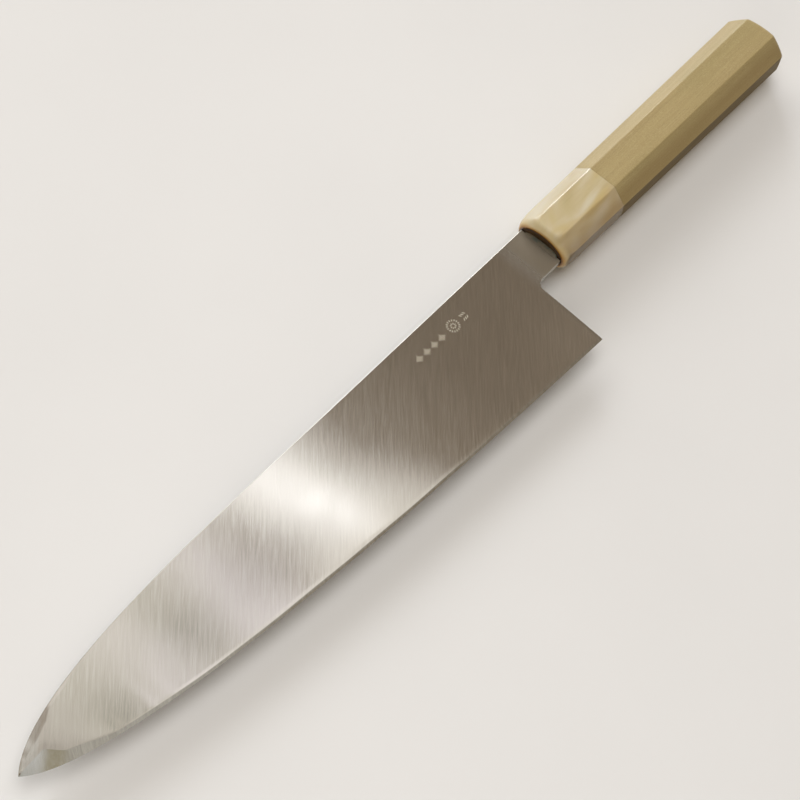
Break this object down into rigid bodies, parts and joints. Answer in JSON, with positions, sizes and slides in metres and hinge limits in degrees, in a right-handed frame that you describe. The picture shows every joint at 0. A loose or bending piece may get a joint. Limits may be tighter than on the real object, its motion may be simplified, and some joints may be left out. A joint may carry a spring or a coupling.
{
  "type": "chef knife",
  "caption": "Long chef's knife with a curved, symmetrically ground steel blade, open choil and hidden tang, set in an octagonal wooden handle with a horn ferrule.",
  "frame": {"origin": "centre of the flat butt face, on the handle axis", "axes": "+X along the handle axis towards the butt, so the tip is at -X; +Y towards the spine, so the cutting edge faces -Y; +Z out of the blade's left face (left as held, tip away from the hand, edge down), which is up when the knife lies on its right side"},
  "size_m": [0.4305, 0.0572, 0.0224],
  "materials": {
    "satin_steel": "fine cross-ground satin, scratches at about 41 degrees to the spine, polished edge bevel",
    "blond_horn": "polished blond buffalo horn, milky streaks, amber at the thin rim",
    "magnolia_wood": "bare sanded magnolia, fine straight grain, matt",
    "dark_resin": "dark brown resin, matt to slightly glossy"
  },
  "bodies": {
    "root": {"blade": "satin_steel", "ferrule": "blond_horn", "handle_body": "magnolia_wood", "mouth_seal": "dark_resin"}
  },
  "joints": []
}
